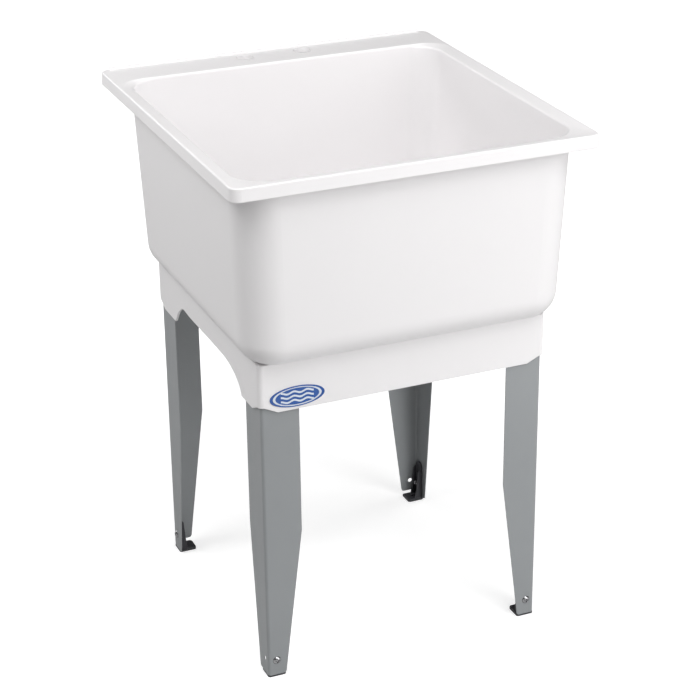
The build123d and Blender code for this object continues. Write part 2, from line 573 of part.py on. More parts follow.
def make_drain_body():
    """Flanged drain body with a threaded shank."""
    points = [(SHANK_BORE_R, SHANK_END), (SHANK_BORE_R, STRAINER_LEDGE), (SEAT_BORE_R, STRAINER_LEDGE)]
    points += [(SEAT_BORE_R, FLANGE_TOP - DRAIN_EDGE), (SEAT_BORE_R + DRAIN_EDGE, FLANGE_TOP)]
    points += [(DRAIN_FLANGE_R - DRAIN_EDGE, FLANGE_TOP), (DRAIN_FLANGE_R, FLANGE_TOP - DRAIN_EDGE)]
    points += [(DRAIN_FLANGE_R, FLANGE_BOTTOM), (SHANK_R, FLANGE_BOTTOM)]
    root = SHANK_R - THREAD_DEPTH
    level = LOWER_GASKET_BOTTOM - THREAD_PITCH
    while level - THREAD_PITCH > SHANK_END:
        root_start = level - THREAD_FLANK
        root_end = root_start - THREAD_ROOT
        points += [(SHANK_R, level), (root, root_start), (root, root_end), (SHANK_R, root_end - THREAD_FLANK)]
        level -= THREAD_PITCH
    points += [(SHANK_R, SHANK_END)]
    return at_drain(turned(points))


def make_strainer_grid():
    """Perforated disc on the ledge of the drain body."""
    disc = Pos(0, 0, STRAINER_THICKNESS / 2) * Cylinder(SEAT_BORE_R - SLIDE_GAP, STRAINER_THICKNESS)
    disc -= Cylinder(STRAINER_HOLE_R, 4 * STRAINER_THICKNESS)
    for number in range(1, STRAINER_RINGS + 1):
        count = STRAINER_RING_HOLES * number
        for hole in PolarLocations(STRAINER_RING_R * number, count):
            disc -= hole * Cylinder(STRAINER_HOLE_R, 4 * STRAINER_THICKNESS)
    return at_drain(Pos(0, 0, STRAINER_LEDGE) * disc)


def make_drain_locknut():
    """Lugged locknut below the friction washer."""
    nut = ring(LOCKNUT_R, SHANK_R + SHANK_CLEARANCE, LOCKNUT_BOTTOM, FRICTION_BOTTOM)
    mid = (LOCKNUT_BOTTOM + FRICTION_BOTTOM) / 2
    for place in PolarLocations(LOCKNUT_R, LOCKNUT_LUGS):
        nut += Pos(0, 0, mid) * place * Box(2 * LOCKNUT_LUG, 2 * LOCKNUT_LUG, LOCKNUT_HEIGHT)
    return at_drain(nut)


def make_coupling_nut():
    """Fluted nut that draws the tailpiece against the shank."""
    top = COUPLING_BOTTOM + COUPLING_HEIGHT
    inner = SHANK_R + SHANK_CLEARANCE
    tail = TAILPIECE_NECK_R + SHANK_CLEARANCE
    points = [(tail, COUPLING_BOTTOM), (COUPLING_R, COUPLING_BOTTOM), (COUPLING_R, top), (inner, top)]
    points += [(inner, COUPLING_LEDGE_TOP), (tail, COUPLING_LEDGE_TOP)]
    nut = turned(points)
    mid = (COUPLING_BOTTOM + top) / 2
    for place in PolarLocations(COUPLING_R + COUPLING_FLUTE_OUT, COUPLING_FLUTES):
        nut -= Pos(0, 0, mid) * place * Cylinder(COUPLING_FLUTE_R, 2 * COUPLING_HEIGHT)
    return at_drain(nut)


def make_tailpiece():
    """Flanged tube that leads to the trap."""
    bore = TAILPIECE_R - TAILPIECE_WALL
    neck_end = TAIL_FLANGE_BOTTOM - TAILPIECE_NECK
    points = [(bore, TAIL_END), (TAILPIECE_R, TAIL_END), (TAILPIECE_R, neck_end)]
    points += [(TAILPIECE_NECK_R, neck_end), (TAILPIECE_NECK_R, TAIL_FLANGE_BOTTOM)]
    points += [(TAILPIECE_FLANGE_R, TAIL_FLANGE_BOTTOM), (TAILPIECE_FLANGE_R, TAIL_FLANGE_TOP), (bore, TAIL_FLANGE_TOP)]
    return at_drain(turned(points))


def make_stopper():
    """Rubber plug with a cap and an eye for the pull ring."""
    edge = STOPPER_EDGE
    plug_end = STOPPER_CAP_BOTTOM - STOPPER_PLUG_DEPTH
    points = [(0, plug_end), (STOPPER_PLUG_END_R - edge, plug_end), (STOPPER_PLUG_END_R, plug_end + edge)]
    points += [(STOPPER_PLUG_R, STOPPER_CAP_BOTTOM), (STOPPER_CAP_R, STOPPER_CAP_BOTTOM)]
    points += [(STOPPER_CAP_R, STOPPER_CAP_TOP - edge), (STOPPER_CAP_R - edge, STOPPER_CAP_TOP), (0, STOPPER_CAP_TOP)]
    plug = turned(points)
    height = EYE_HOLE_HEIGHT + EYE_WIDTH / 2
    eye = Pos(0, 0, height / 2 - EPS) * Box(EYE_THICKNESS, EYE_WIDTH, height + 2 * EPS)
    eye = fillet(eye.edges().filter_by(Axis.X).group_by(Axis.Z)[-1], EYE_WIDTH / 2 - EYE_CREST)
    eye -= Pos(0, 0, EYE_HOLE_HEIGHT) * Rot(0, 90, 0) * Cylinder(EYE_HOLE_R, 4 * EYE_THICKNESS)
    return at_drain(plug + Pos(0, 0, STOPPER_CAP_TOP) * eye)


def make_stopper_ring():
    """Wire ring through the stopper's eye, lying back on the cap."""
    drop = EYE_HOLE_HEIGHT - RING_WIRE_R - RING_REST_GAP
    tilt = degrees(atan2(drop, 2 * RING_R))
    loop = Pos(0, RING_R, 0) * Torus(RING_R, RING_WIRE_R)
    return at_drain(Pos(0, 0, STOPPER_CAP_TOP + EYE_HOLE_HEIGHT) * Rot(-tilt, 0, 0) * loop)


def make_oval_badge():
    """Thin oval plate on the skirt's front, with a shallow groove inside its edge."""
    plane = Plane(origin=(0, 0, 0), x_dir=(1, 0, 0), z_dir=(0, -1, 0))
    plate = extrude(plane * Ellipse(BADGE_WIDTH / 2, BADGE_HEIGHT / 2), amount=BADGE_THICKNESS)
    outer = Ellipse(BADGE_WIDTH / 2 - BADGE_BORDER, BADGE_HEIGHT / 2 - BADGE_BORDER)
    inset = BADGE_BORDER + BADGE_GROOVE_WIDTH
    inner = Ellipse(BADGE_WIDTH / 2 - inset, BADGE_HEIGHT / 2 - inset)
    groove = extrude(plane * (outer - inner), amount=BADGE_GROOVE)
    plate -= Pos(0, BADGE_GROOVE - BADGE_THICKNESS, 0) * groove
    x = BADGE_FROM_CORNER - SKIRT_WIDTH / 2
    return Pos(x, SKIRT_FRONT, SKIRT_BOTTOM + BADGE_ABOVE_EDGE) * plate


def save(name, shape):
    """Writes one sub-part to its STEP file."""
    shape.label = name
    export_step(shape, os.path.join("parts", name + ".step"))


def main():
    os.makedirs("parts", exist_ok=True)
    save("tub", make_tub())
    foot, bolt, nut = make_foot(), make_foot_bolt(), make_foot_nut()
    for end, end_name, lift in ((-1, "front", 0), (1, "rear", REAR_FLANGE_LIFT)):
        leg = make_leg(lift)
        for side, side_name in ((-1, "left"), (1, "right")):
            name = end_name + "_" + side_name
            save(name + "_leg", to_corner(leg, side, end))
            for piece, piece_name in ((foot, "_foot"), (bolt, "_foot_bolt"), (nut, "_foot_nut")):
                placed = piece if end < 0 else swap_flange(piece)
                save(name + piece_name, to_corner(placed, side, end))
    save("drain_body", make_drain_body())
    save("strainer_grid", make_strainer_grid())
    save("flange_gasket", at_drain(ring(DRAIN_FLANGE_R, SHANK_R + SHANK_CLEARANCE, FLANGE_SEAT, FLANGE_BOTTOM)))
    save("lower_gasket", at_drain(ring(LOWER_GASKET_R, SHANK_R + SHANK_CLEARANCE, LOWER_GASKET_BOTTOM, PAD_BOTTOM)))
    friction = ring(LOWER_GASKET_R, SHANK_R + SHANK_CLEARANCE, FRICTION_BOTTOM, LOWER_GASKET_BOTTOM)
    save("friction_washer", at_drain(friction))
    save("drain_locknut", make_drain_locknut())
    save("tailpiece_washer", at_drain(ring(TAILPIECE_FLANGE_R, SHANK_BORE_R, TAIL_FLANGE_TOP, SHANK_END)))
    save("tailpiece", make_tailpiece())
    save("coupling_nut", make_coupling_nut())
    save("stopper", make_stopper())
    save("stopper_ring", make_stopper_ring())
    save("oval_badge", make_oval_badge())


main()
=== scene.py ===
"""Studio scene of a utility laundry sink on four pressed legs.

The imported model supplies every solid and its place. This script gives each
piece its finish, draws the badge's face in its material, and sets the floor,
the lights and the camera.
"""

import json
import logging
import math
from dataclasses import dataclass
from enum import Enum
from typing import Dict, Optional, Sequence, Tuple

import bpy
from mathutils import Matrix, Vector

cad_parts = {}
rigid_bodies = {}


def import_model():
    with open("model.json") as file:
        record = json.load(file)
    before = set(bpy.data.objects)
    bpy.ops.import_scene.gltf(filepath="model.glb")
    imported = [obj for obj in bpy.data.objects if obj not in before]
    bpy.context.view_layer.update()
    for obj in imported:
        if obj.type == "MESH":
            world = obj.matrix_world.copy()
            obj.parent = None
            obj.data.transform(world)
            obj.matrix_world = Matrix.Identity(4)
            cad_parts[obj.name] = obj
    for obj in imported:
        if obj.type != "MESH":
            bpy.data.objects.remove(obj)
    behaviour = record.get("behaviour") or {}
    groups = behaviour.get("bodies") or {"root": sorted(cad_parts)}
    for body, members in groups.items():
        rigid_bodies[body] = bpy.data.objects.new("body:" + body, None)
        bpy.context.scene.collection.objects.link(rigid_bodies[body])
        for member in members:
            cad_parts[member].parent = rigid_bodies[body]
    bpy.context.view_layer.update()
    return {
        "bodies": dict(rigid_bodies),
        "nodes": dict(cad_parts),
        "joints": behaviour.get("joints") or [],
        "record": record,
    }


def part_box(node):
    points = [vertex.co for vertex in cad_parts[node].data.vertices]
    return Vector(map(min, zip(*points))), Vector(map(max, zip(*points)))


Colour = Tuple[float, float, float]
Point = Tuple[float, float, float]

LOG = logging.getLogger("laundry_sink")
WHITE = (1.0, 1.0, 1.0, 1.0)


class Slot(Enum):
    """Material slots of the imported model."""

    TUB = "tub_plastic"
    LEG = "leg_paint"
    FOOT = "foot_plastic"
    ZINC = "zinc"
    DRAIN = "drain_plastic"
    STRAINER = "strainer_steel"
    GASKET = "gasket_rubber"
    STOPPER = "stopper_rubber"
    BADGE = "badge"


class Corner(Enum):
    """The four corners that have a leg."""

    FRONT_LEFT = "front_left"
    FRONT_RIGHT = "front_right"
    REAR_LEFT = "rear_left"
    REAR_RIGHT = "rear_right"


class NodeGraph:
    """Small helper that adds nodes and links to one node tree."""

    COLUMN_STEP = 190  # spacing in the editor
    ROW_STEP = 40
    ROWS = 5
    MIX_INPUTS = (0, 6, 7)  # factor and both colours among the inputs of a colour mix
    MIX_OUTPUT = 2  # mixed colour among its outputs

    def __init__(self, tree: bpy.types.NodeTree) -> None:
        """Starts at the first column of a tree."""
        self.tree = tree
        self.column = 0

    def add(self, kind: str, **settings: object) -> bpy.types.Node:
        """Adds a node.

        Args:
            kind: Blender's name of the node type.
            settings: attributes of the node, set after it is made.

        Returns:
            The new node.
        """
        node = self.tree.nodes.new(kind)
        node.location = (self.column * self.COLUMN_STEP, -self.ROW_STEP * (self.column % self.ROWS))
        self.column += 1
        for name, value in settings.items():
            setattr(node, name, value)
        return node

    def link(self, source: bpy.types.NodeSocket, target: bpy.types.NodeSocket) -> None:
        """Joins an output to an input."""
        self.tree.links.new(source, target)

    def math(self, operation: str, first: object, second: object = None) -> bpy.types.NodeSocket:
        """Adds a math node.

        Args:
            operation: the operation's name.
            first: a number or an output socket.
            second: a number or an output socket, if the operation takes two.

        Returns:
            The node's output socket.
        """
        node = self.add("ShaderNodeMath", operation=operation)
        for index, value in enumerate((first, second)):
            if value is None:
                continue
            if isinstance(value, (int, float)):
                node.inputs[index].default_value = value
            else:
                self.link(value, node.inputs[index])
        return node.outputs[0]

    def mix(self, factor: object, first: object, second: object) -> bpy.types.NodeSocket:
        """Adds a colour mix.

        Args:
            factor: a number or an output socket.
            first: colour or socket shown at factor 0.
            second: colour or socket shown at factor 1.

        Returns:
            The mixed colour's socket.
        """
        node = self.add("ShaderNodeMix", data_type="RGBA")
        for index, value in zip(self.MIX_INPUTS, (factor, first, second)):
            socket = node.inputs[index]
            if isinstance(value, bpy.types.NodeSocket):
                self.link(value, socket)
            elif isinstance(value, (int, float)):
                socket.default_value = value
            else:
                socket.default_value = (*value, 1.0)
        return node.outputs[self.MIX_OUTPUT]


class GroupLibrary:
    """Shared shader node groups: each one outputs a value or a normal only."""

    EDGE_SAMPLES = 4  # rays of each bevel node
    SOFT_RADIUS = 0.0012  # edges look rounded by this much
    SKIN_DEPTH = 0.0004  # depth of the surface texture at full strength
    WEAR_AND_LIGHT_RADIUS = 0.0014  # reach of the edge marks: partly worn paint, partly painted highlight and painted shade
    WEAR_AND_LIGHT_FLOOR = 0.4  # least share of the edge marks (worn paint, painted highlight and painted shade) along an edge
    LARGE_DETAIL = 2.0
    FINE_DETAIL = 3.0
    FINE_RATIO = 9.0  # fine clouds to large clouds, in scale
    FINE_SHARE = 0.35  # fine clouds to large clouds, in strength
    NOISE_MEAN = 0.5

    def __init__(self) -> None:
        """Starts without any group."""
        self.made: Dict[str, bpy.types.NodeTree] = {}

    def _begin(self, name: str, inputs: Sequence[Tuple[str, str]],
               outputs: Sequence[Tuple[str, str]]) -> NodeGraph:
        """Starts a group with its sockets.

        Args:
            name: the group's name.
            inputs: label and kind of each input.
            outputs: label and kind of each output.

        Returns:
            The empty group's graph.
        """
        tree = bpy.data.node_groups.new(name, "ShaderNodeTree")
        for label, kind in inputs:
            tree.interface.new_socket(label, in_out="INPUT", socket_type=kind)
        for label, kind in outputs:
            tree.interface.new_socket(label, in_out="OUTPUT", socket_type=kind)
        self.made[name] = tree
        return NodeGraph(tree)

    def mottle(self) -> bpy.types.NodeTree:
        """Soft cloudy value round one, from two scales of noise.

        Returns:
            The group with inputs Scale and Amount and output Value.
        """
        name = "mottle"
        if name in self.made:
            return self.made[name]
        sockets = [("Scale", "NodeSocketFloat"), ("Amount", "NodeSocketFloat")]
        graph = self._begin(name, sockets, [("Value", "NodeSocketFloat")])
        source = graph.add("NodeGroupInput")
        coords = graph.add("ShaderNodeTexCoord")
        large = graph.add("ShaderNodeTexNoise")
        large.inputs["Detail"].default_value = self.LARGE_DETAIL
        graph.link(coords.outputs["Object"], large.inputs["Vector"])
        graph.link(source.outputs["Scale"], large.inputs["Scale"])
        fine = graph.add("ShaderNodeTexNoise")
        fine.inputs["Detail"].default_value = self.FINE_DETAIL
        graph.link(coords.outputs["Object"], fine.inputs["Vector"])
        graph.link(graph.math("MULTIPLY", source.outputs["Scale"], self.FINE_RATIO), fine.inputs["Scale"])
        both = graph.math("ADD", large.outputs[0], graph.math("MULTIPLY", fine.outputs[0], self.FINE_SHARE))
        centred = graph.math("SUBTRACT", both, self.NOISE_MEAN * (1.0 + self.FINE_SHARE))
        scaled = graph.math("MULTIPLY", centred, source.outputs["Amount"])
        sink = graph.add("NodeGroupOutput")
        graph.link(graph.math("ADD", scaled, 1.0), sink.inputs["Value"])
        return graph.tree

    def edge_normal(self) -> bpy.types.NodeTree:
        """Normal softened at sharp edges, with a fine moulded or painted skin.

        Returns:
            The group with inputs Scale and Strength and output Normal.
        """
        name = "edge_normal"
        if name in self.made:
            return self.made[name]
        sockets = [(label, "NodeSocketFloat") for label in ("Scale", "Strength")]
        graph = self._begin(name, sockets, [("Normal", "NodeSocketVector")])
        source = graph.add("NodeGroupInput")
        coords = graph.add("ShaderNodeTexCoord")
        noise = graph.add("ShaderNodeTexNoise")
        noise.inputs["Detail"].default_value = self.LARGE_DETAIL
        graph.link(coords.outputs["Object"], noise.inputs["Vector"])
        graph.link(source.outputs["Scale"], noise.inputs["Scale"])
        bevel = graph.add("ShaderNodeBevel", samples=self.EDGE_SAMPLES)
        bevel.inputs["Radius"].default_value = self.SOFT_RADIUS
        bump = graph.add("ShaderNodeBump")
        bump.inputs["Distance"].default_value = self.SKIN_DEPTH
        graph.link(source.outputs["Strength"], bump.inputs["Strength"])
        graph.link(noise.outputs[0], bump.inputs["Height"])
        graph.link(bevel.outputs[0], bump.inputs["Normal"])
        sink = graph.add("NodeGroupOutput")
        graph.link(bump.outputs[0], sink.inputs["Normal"])
        return graph.tree

    def edge_wear_and_light(self) -> bpy.types.NodeTree:
        """Mask of the outer edges, broken up by noise. Where it lightens edges it is partly worn paint and
        partly painted highlight; where it darkens a bolt head's rim and recess it is painted shade.

        Returns:
            The group with inputs Gain and Scale and output Mask.
        """
        name = "edge_wear_and_light"
        if name in self.made:
            return self.made[name]
        sockets = [(label, "NodeSocketFloat") for label in ("Gain", "Scale")]
        graph = self._begin(name, sockets, [("Mask", "NodeSocketFloat")])
        source = graph.add("NodeGroupInput")
        bevel = graph.add("ShaderNodeBevel", samples=self.EDGE_SAMPLES)
        bevel.inputs["Radius"].default_value = self.WEAR_AND_LIGHT_RADIUS
        surface = graph.add("ShaderNodeNewGeometry")
        facing = graph.add("ShaderNodeVectorMath", operation="DOT_PRODUCT")
        graph.link(bevel.outputs[0], facing.inputs[0])
        graph.link(surface.outputs["Normal"], facing.inputs[1])
        turned = graph.math("SUBTRACT", 1.0, facing.outputs["Value"])
        coords = graph.add("ShaderNodeTexCoord")
        noise = graph.add("ShaderNodeTexNoise")
        noise.inputs["Detail"].default_value = self.FINE_DETAIL
        graph.link(coords.outputs["Object"], noise.inputs["Vector"])
        graph.link(source.outputs["Scale"], noise.inputs["Scale"])
        edge = graph.math("MULTIPLY", turned, source.outputs["Gain"])
        broken = graph.add("ShaderNodeMath", operation="MULTIPLY", use_clamp=True)
        graph.link(edge, broken.inputs[0])
        graph.link(graph.math("ADD", noise.outputs[0], self.WEAR_AND_LIGHT_FLOOR), broken.inputs[1])
        sink = graph.add("NodeGroupOutput")
        graph.link(broken.outputs[0], sink.inputs["Mask"])
        return graph.tree


@dataclass(frozen=True)
class Finish:
    """One procedural surface finish.

    Attributes:
        name: material name.
        colour: base colour, linear.
        roughness: mean roughness.
        metallic: 1 for bare metal, else 0.
        coat: weight of the clear outer layer.
        coat_roughness: roughness of that layer.
        mottle_scale: scale of the soft colour variation.
        mottle_amount: strength of the soft colour variation.
        skin_scale: scale of the surface texture.
        skin_strength: strength of the surface texture.
        wear_and_light_colour: colour of the outer edges, where it differs: partly worn paint and partly
            painted highlight where lighter, painted shade where darker.
        wear_and_light_gain: strength of that difference.
        wear_and_light_scale: scale of its breakup.
    """

    name: str
    colour: Colour
    roughness: float
    metallic: float = 0.0
    coat: float = 0.0
    coat_roughness: float = 0.1
    mottle_scale: float = 5.0
    mottle_amount: float = 0.04
    skin_scale: float = 900.0
    skin_strength: float = 0.05
    wear_and_light_colour: Optional[Colour] = None
    wear_and_light_gain: float = 3.0
    wear_and_light_scale: float = 120.0

    def build(self, groups: GroupLibrary) -> bpy.types.Material:
        """Makes the material.

        Args:
            groups: the shared node groups.

        Returns:
            The finished material.
        """
        material = bpy.data.materials.new(self.name)
        material.use_nodes = True
        material.node_tree.nodes.clear()
        graph = NodeGraph(material.node_tree)
        mottle = graph.add("ShaderNodeGroup", node_tree=groups.mottle())
        mottle.inputs["Scale"].default_value = self.mottle_scale
        mottle.inputs["Amount"].default_value = self.mottle_amount
        normal = graph.add("ShaderNodeGroup", node_tree=groups.edge_normal())
        normal.inputs["Scale"].default_value = self.skin_scale
        normal.inputs["Strength"].default_value = self.skin_strength
        shader = graph.add("ShaderNodeBsdfPrincipled")
        colour = self.lay_edge_wear_and_light(graph, groups, self.colour_socket(graph, mottle.outputs["Value"]))
        graph.link(colour, shader.inputs["Base Color"])
        roughness = graph.math("MULTIPLY", mottle.outputs["Value"], self.roughness)
        graph.link(roughness, shader.inputs["Roughness"])
        graph.link(normal.outputs["Normal"], shader.inputs["Normal"])
        shader.inputs["Metallic"].default_value = self.metallic
        shader.inputs["Coat Weight"].default_value = self.coat
        shader.inputs["Coat Roughness"].default_value = self.coat_roughness
        out = graph.add("ShaderNodeOutputMaterial")
        graph.link(shader.outputs[0], out.inputs["Surface"])
        return material

    def lay_edge_wear_and_light(self, graph: NodeGraph, groups: GroupLibrary,
             colour: bpy.types.NodeSocket) -> bpy.types.NodeSocket:
        """Lays the colour of the outer edges over the base colour: partly worn paint and partly painted
        highlight where it is lighter, painted shade where it is darker.

        Args:
            graph: the material's graph.
            groups: the shared node groups.
            colour: socket of the base colour.

        Returns:
            The colour's socket, as it was where the edges don't differ.
        """
        if self.wear_and_light_colour is None:
            return colour
        wear_and_light_node = graph.add("ShaderNodeGroup", node_tree=groups.edge_wear_and_light())
        wear_and_light_node.inputs["Gain"].default_value = self.wear_and_light_gain
        wear_and_light_node.inputs["Scale"].default_value = self.wear_and_light_scale
        return graph.mix(wear_and_light_node.outputs["Mask"], colour, self.wear_and_light_colour)

    def colour_socket(self, graph: NodeGraph, variation: bpy.types.NodeSocket) -> bpy.types.NodeSocket:
        """Base colour with its soft variation.

        Args:
            graph: the material's graph.
            variation: value round one.

        Returns:
            The colour's socket.
        """
        scale = graph.add("ShaderNodeVectorMath", operation="SCALE")
        scale.inputs[0].default_value = self.colour
        graph.link(variation, scale.inputs["Scale"])
        return scale.outputs[0]


@dataclass(frozen=True)
class BadgeFace(Finish):
    """Blue oval face with a pale ring and three pale waves.

    Attributes:
        centre: middle of the plate.
        half_width: half of the plate's width.
        half_height: half of the plate's height.
        pale: colour of the ring and the waves.
        ring_inner: inner edge of the ring, as a share of the plate's half sizes.
        ring_outer: outer edge of the ring.
        wave_reach: half length of the waves, as a share of the plate's half width.
        wave_pitch: distance between the waves, as a share of the plate's half height.
        wave_rate: bends of a wave, in radians over the plate's half width.
        wave_bend: height of the bends, as a share of the plate's half height.
        wave_limit: distance of the outer waves' outer edge from the middle, in wave pitches.
        wave_half: half of a wave's thickness, in wave pitches.
    """

    PHASE = 2.5  # keeps the value positive and puts a wave in the middle
    MIDDLE = 0.5

    centre: Point = (0.0, 0.0, 0.0)
    half_width: float = 1.0
    half_height: float = 1.0
    pale: Colour = (0.70, 0.76, 0.84)
    ring_inner: float = 0.80
    ring_outer: float = 0.89
    wave_reach: float = 0.60
    wave_pitch: float = 0.42
    wave_rate: float = 13.0
    wave_bend: float = 0.09
    wave_limit: float = 1.45
    wave_half: float = 0.22

    def colour_socket(self, graph: NodeGraph, variation: bpy.types.NodeSocket) -> bpy.types.NodeSocket:
        """Blue field with the pale ring and waves.

        Args:
            graph: the material's graph.
            variation: value round one.

        Returns:
            The colour's socket.
        """
        coords = graph.add("ShaderNodeTexCoord")
        split = graph.add("ShaderNodeSeparateXYZ")
        graph.link(coords.outputs["Object"], split.inputs[0])
        right = graph.math("SUBTRACT", split.outputs["X"], self.centre[0])
        across = graph.math("DIVIDE", right, self.half_width)
        above = graph.math("SUBTRACT", split.outputs["Z"], self.centre[2])
        up = graph.math("DIVIDE", above, self.half_height)
        squares = graph.math("ADD", graph.math("POWER", across, 2.0), graph.math("POWER", up, 2.0))
        radius = graph.math("SQRT", squares)
        ring = self._between(graph, radius, self.ring_inner, self.ring_outer)
        swing = graph.math("SINE", graph.math("MULTIPLY", across, self.wave_rate))
        bend = graph.math("MULTIPLY", swing, self.wave_bend)
        level = graph.math("DIVIDE", graph.math("ADD", up, bend), self.wave_pitch)
        share = graph.math("FRACT", graph.math("ADD", level, self.PHASE))
        offset = graph.math("ABSOLUTE", graph.math("SUBTRACT", share, self.MIDDLE))
        stripe = graph.math("LESS_THAN", offset, self.wave_half)
        near = graph.math("LESS_THAN", graph.math("ABSOLUTE", level), self.wave_limit)
        reach = graph.math("LESS_THAN", graph.math("ABSOLUTE", across), self.wave_reach)
        waves = graph.math("MULTIPLY", graph.math("MULTIPLY", stripe, near), reach)
        blue = super().colour_socket(graph, variation)
        return graph.mix(graph.math("MAXIMUM", ring, waves), blue, self.pale)

    @staticmethod
    def _between(graph: NodeGraph, value: bpy.types.NodeSocket, low: float,
                 high: float) -> bpy.types.NodeSocket:
        """Mask of the values between two limits.

        Args:
            graph: the material's graph.
            value: socket of the value.
            low: lower limit.
            high: upper limit.

        Returns:
            The mask's socket.
        """
        above = graph.math("GREATER_THAN", value, low)
        below = graph.math("LESS_THAN", value, high)
        return graph.math("MULTIPLY", above, below)


@dataclass(frozen=True)
class SoftBox:
    """One soft studio lamp that faces the sink.

    Attributes:
        name: the lamp's name.
        azimuth: degrees round the sink, 0 in front of it and 90 on its right.
        elevation: degrees above the middle of the sink.
        power: output in watts.
        size: side of the square box.
        distance: how far it stands from the middle of the sink.
    """

    name: str
    azimuth: float
    elevation: float
    power: float
    size: float = 1.8
    distance: float = 4.0

    def place(self, aim: Vector) -> Vector:
        """Where the lamp stands.

        Args:
            aim: the point that it faces.

        Returns:
            The lamp's place.
        """
        turn, lift = math.radians(self.azimuth), math.radians(self.elevation)
        level = math.cos(lift)
        return aim + self.distance * Vector((level * math.sin(turn), -level * math.cos(turn), math.sin(lift)))


@dataclass(frozen=True)
class Studio:
    """Floor, surroundings, lights and camera.

    Attributes:
        camera_at: place of the camera.
        camera_yaw: degrees that it looks to the right of straight ahead.
        camera_pitch: degrees that it looks down.
        lens: focal length in mm.
        sensor: width of the sensor in mm.
        shift_x: sideways shift of the lens.
        far_limit: how far the camera sees.
        surround: brightness of the surroundings for the pieces.
        backdrop: brightness of the surroundings for the camera.
        floor_half: half of the floor's side.
        floor_albedo: brightness of the floor's surface.
        floor_roughness: roughness of the floor's surface.
        floor_glow: light that the camera sees on the floor below the sink.
        far_glow: the same away from the sink, where the floor meets the backdrop.
        glow_near: distance at which the glow begins to change.
        glow_far: distance at which it has changed.
        lamp_aim: the point that the lamps face.
        lamps: the soft boxes.
    """

    camera_at: Point = (-1.17647, -2.82457, 1.81796)
    camera_yaw: float = 24.37
    camera_pitch: float = 24.51
    lens: float = 105.595
    sensor: float = 36.0
    shift_x: float = -0.0714
    far_limit: float = 100.0
    surround: float = 0.04
    backdrop: float = 1.06
    floor_half: float = 14.0
    floor_albedo: float = 0.60
    floor_roughness: float = 0.9
    floor_glow: float = 0.62
    far_glow: float = 1.06
    glow_near: float = 0.35
    glow_far: float = 1.4
    lamp_aim: Point = (0.0, 0.0, 0.65)
    lamps: Tuple[SoftBox, ...] = (
        SoftBox("front_box", 0.0, 40.0, 12.0),
        SoftBox("low_front_box", 0.0, 22.0, 12.0),
        SoftBox("high_front_box", 0.0, 58.0, 37.0),
        SoftBox("low_right_box", 30.0, 10.0, 50.0),
        SoftBox("near_low_box", 42.0, -20.0, 0.7, size=0.5, distance=1.2),
        SoftBox("near_right_box", 24.0, 40.0, 9.0, size=1.0, distance=1.9),
        SoftBox("near_left_box", -95.0, 40.0, 14.0, size=1.0, distance=1.9),
        SoftBox("high_left_box", -75.0, 58.0, 33.0),
        SoftBox("low_rear_box", -150.0, 10.0, 41.0),
        SoftBox("right_top_box", 90.0, 55.0, 26.0),
        SoftBox("side_right_box", 105.0, 6.0, 24.0),
    )

    def camera(self) -> bpy.types.Object:
        """Adds the camera at the photograph's place.

        Returns:
            The camera object.
        """
        data = bpy.data.cameras.new("camera")
        data.lens = self.lens
        data.sensor_width = self.sensor
        data.shift_x = self.shift_x
        data.clip_end = self.far_limit
        camera = bpy.data.objects.new("camera", data)
        camera.location = self.camera_at
        camera.rotation_euler = (math.radians(90.0 - self.camera_pitch), 0.0, math.radians(-self.camera_yaw))
        bpy.context.scene.collection.objects.link(camera)
        bpy.context.scene.camera = camera
        return camera

    def world(self) -> None:
        """White surroundings, brighter for the camera than for the pieces."""
        world = bpy.data.worlds.new("surround")
        world.use_nodes = True
        world.node_tree.nodes.clear()
        graph = NodeGraph(world.node_tree)
        path = graph.add("ShaderNodeLightPath")
        seen = graph.math("MULTIPLY", path.outputs["Is Camera Ray"], self.backdrop - self.surround)
        background = graph.add("ShaderNodeBackground")
        background.inputs["Color"].default_value = WHITE
        graph.link(graph.math("ADD", seen, self.surround), background.inputs["Strength"])
        out = graph.add("ShaderNodeOutputWorld")
        graph.link(background.outputs[0], out.inputs["Surface"])
        bpy.context.scene.world = world

    def floor(self) -> bpy.types.Object:
        """Plain white floor that keeps the contact shadows.

        Returns:
            The floor object.
        """
        half = self.floor_half
        mesh = bpy.data.meshes.new("floor")
        corners = [(-half, -half, 0.0), (half, -half, 0.0), (half, half, 0.0), (-half, half, 0.0)]
        mesh.from_pydata(corners, [], [(0, 1, 2, 3)])
        floor = bpy.data.objects.new("floor", mesh)
        bpy.context.scene.collection.objects.link(floor)
        material = bpy.data.materials.new("floor_white")
        material.use_nodes = True
        material.node_tree.nodes.clear()
        graph = NodeGraph(material.node_tree)
        shader = graph.add("ShaderNodeBsdfPrincipled")
        albedo = self.floor_albedo
        shader.inputs["Base Color"].default_value = (albedo, albedo, albedo, 1.0)
        shader.inputs["Roughness"].default_value = self.floor_roughness
        shader.inputs["Specular IOR Level"].default_value = 0.0
        path = graph.add("ShaderNodeLightPath")
        shader.inputs["Emission Color"].default_value = WHITE
        place = graph.add("ShaderNodeNewGeometry")
        away = graph.add("ShaderNodeVectorMath", operation="LENGTH")
        graph.link(place.outputs["Position"], away.inputs[0])
        fade = graph.add("ShaderNodeMapRange", interpolation_type="SMOOTHSTEP")
        for label, value in (("From Min", self.glow_near), ("From Max", self.glow_far),
                             ("To Min", self.floor_glow), ("To Max", self.far_glow)):
            fade.inputs[label].default_value = value
        graph.link(away.outputs["Value"], fade.inputs["Value"])
        glow = graph.math("MULTIPLY", path.outputs["Is Camera Ray"], fade.outputs[0])
        graph.link(glow, shader.inputs["Emission Strength"])
        out = graph.add("ShaderNodeOutputMaterial")
        graph.link(shader.outputs[0], out.inputs["Surface"])
        mesh.materials.append(material)
        return floor

